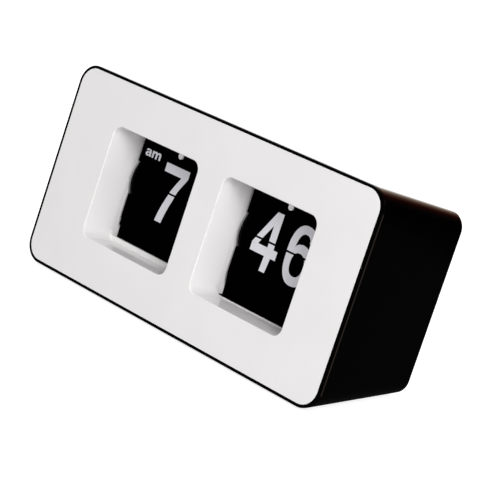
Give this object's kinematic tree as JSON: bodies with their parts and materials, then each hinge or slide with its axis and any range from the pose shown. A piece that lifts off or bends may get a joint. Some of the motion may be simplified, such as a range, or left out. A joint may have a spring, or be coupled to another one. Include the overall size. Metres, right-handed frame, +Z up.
{
  "type": "flip number clock",
  "caption": "Free-standing flip number clock: tapered black case, white front with sunk hour and minute windows, split leaves on geared drums, battery door and time wheel at the back.",
  "frame": {"origin": "on the surface the clock stands on, under the middle of its bounding box", "axes": "+X to the right as the clock is read, the face looks towards -Y and leans back, +Z up"},
  "size_m": [0.203, 0.0812, 0.1017],
  "materials": {
    "black_gloss": "glossy",
    "black_satin": "satin",
    "white_face": "satin",
    "leaf_black": "satin",
    "drum_black": "satin",
    "ivory_plastic": "satin",
    "gear_plastic": "satin",
    "steel": "satin",
    "rubber": "matte",
    "cell_skin": "satin",
    "copper": "enamelled",
    "board_green": "satin",
    "board_black": "matte"
  },
  "bodies": {
    "root": {"front_frame": "black_gloss", "front_panel": "white_face", "body_shell": "black_gloss", "back_cover": "black_satin", "back_cover_screws": "steel", "rubber_feet": "rubber", "battery_bay": "black_satin", "battery_cell": "cell_skin", "battery_contact": "steel", "battery_spring": "steel", "left_cheek": "black_satin", "centre_plate": "black_satin", "right_cheek": "black_satin", "top_rail": "black_satin", "bottom_rail": "black_satin", "chassis_screws": "steel", "tie_rods": "steel", "drum_axle": "steel", "axle_clips": "steel", "gear_studs": "steel", "minute_upper_leaves": "leaf_black", "minute_lower_leaves": "leaf_black", "minute_retainer": "white_face", "hour_upper_leaves": "leaf_black", "hour_lower_leaves": "leaf_black", "hour_retainer": "white_face", "motor_housing": "ivory_plastic", "motor_stator": "steel", "motor_coil": "copper", "circuit_board": "board_green", "board_parts": "board_black"},
    "minute_drum": {"minute_drum": "drum_black", "minute_drum_gear": "drum_black", "minute_transfer_pinion": "drum_black"},
    "hour_drum": {"hour_drum": "drum_black", "hour_drum_gear": "drum_black"},
    "transfer": {"transfer_wheel": "gear_plastic", "transfer_pinion": "steel"},
    "drive": {"drive_wheel": "gear_plastic"},
    "reduction": {"reduction_wheel": "gear_plastic"},
    "motor_rotor": {"motor_pinion": "steel"},
    "time_setter": {"time_wheel": "black_satin", "time_wheel_pinion": "gear_plastic"},
    "minute_leaf": {"minute_falling_leaf": "leaf_black"},
    "hour_leaf": {"hour_falling_leaf": "leaf_black"},
    "door": {"battery_door": "black_satin"}
  },
  "joints": [
    {"name": "minute_drum_spin", "type": "hinge", "parent": "root", "child": "minute_drum", "pos_m": [0.04, -0.00106, 0.05278], "axis": [1, 0, 0], "continuous": true},
    {"name": "hour_drum_spin", "type": "hinge", "parent": "root", "child": "hour_drum", "pos_m": [-0.0374, -0.00106, 0.05278], "axis": [1, 0, 0], "continuous": true},
    {"name": "transfer_spin", "type": "hinge", "parent": "root", "child": "transfer", "pos_m": [0.0076, 0.01419, 0.06722], "axis": [1, 0, 0], "continuous": true},
    {"name": "drive_spin", "type": "hinge", "parent": "root", "child": "drive", "pos_m": [0.008, 0.0083, 0.03859], "axis": [1, 0, 0], "continuous": true},
    {"name": "reduction_spin", "type": "hinge", "parent": "root", "child": "reduction", "pos_m": [0.005, 0.00985, 0.02669], "axis": [1, 0, 0], "continuous": true},
    {"name": "motor_spin", "type": "hinge", "parent": "root", "child": "motor_rotor", "pos_m": [0.004, 0.02059, 0.02133], "axis": [1, 0, 0], "continuous": true},
    {"name": "time_wheel_spin", "type": "hinge", "parent": "root", "child": "time_setter", "pos_m": [0.0044, 0.02865, 0.05297], "axis": [1, 0, 0], "continuous": true},
    {"name": "minute_leaf_fall", "type": "hinge", "parent": "root", "child": "minute_leaf", "pos_m": [0.04, -0.01543, 0.05443], "axis": [1, 0, 0], "range_deg": [0, 178], "deforming": ["minute_retainer"]},
    {"name": "hour_leaf_fall", "type": "hinge", "parent": "root", "child": "hour_leaf", "pos_m": [-0.0374, -0.01543, 0.05443], "axis": [1, 0, 0], "range_deg": [0, 178], "deforming": ["hour_retainer"]},
    {"name": "battery_door_hinge", "type": "hinge", "parent": "root", "child": "door", "pos_m": [-0.0352, 0.02965, 0.00707], "axis": [-1, 0, 0], "range_deg": [0, 100]}
  ],
  "couplings": [
    {"joint": "hour_drum_spin", "follows": "minute_drum_spin", "ratio": 0.041667},
    {"joint": "transfer_spin", "follows": "minute_drum_spin", "ratio": -0.25},
    {"joint": "drive_spin", "follows": "minute_drum_spin", "ratio": -7.5},
    {"joint": "reduction_spin", "follows": "minute_drum_spin", "ratio": 37.5},
    {"joint": "motor_spin", "follows": "minute_drum_spin", "ratio": -187.5},
    {"joint": "time_wheel_spin", "follows": "minute_drum_spin", "ratio": 1.2}
  ]
}
